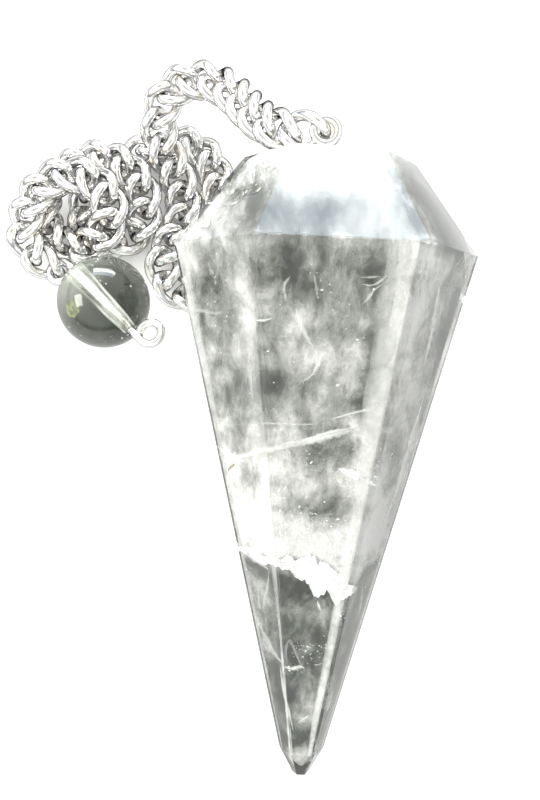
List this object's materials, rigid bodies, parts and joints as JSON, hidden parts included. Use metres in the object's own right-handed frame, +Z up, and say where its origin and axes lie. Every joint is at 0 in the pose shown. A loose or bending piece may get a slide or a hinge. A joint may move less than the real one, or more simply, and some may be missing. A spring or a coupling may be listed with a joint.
{
  "type": "pendulum pendant",
  "caption": "Long six-sided faceted crystal pendulum with a table and a blunt tip, on a loosely piled curb chain that ends in a small round bead on a looped wire pin.",
  "frame": {"origin": "on the surface it lies on, plumb below the middle of the stone's girdle, inside the facet that it rests on", "axes": "+Z up, +Y along the stone towards its table and eye, -Y to its tip, +X to the right, away from the chain"},
  "size_m": [0.041, 0.0616, 0.0214],
  "materials": {
    "quartz": "gloss",
    "silver": "gloss"
  },
  "bodies": {
    "root": {"stone": "quartz", "stone_eye": "silver", "chain_stone_side": "silver", "chain_bead_side": "silver", "bead": "quartz", "bead_pin": "silver"}
  },
  "joints": []
}
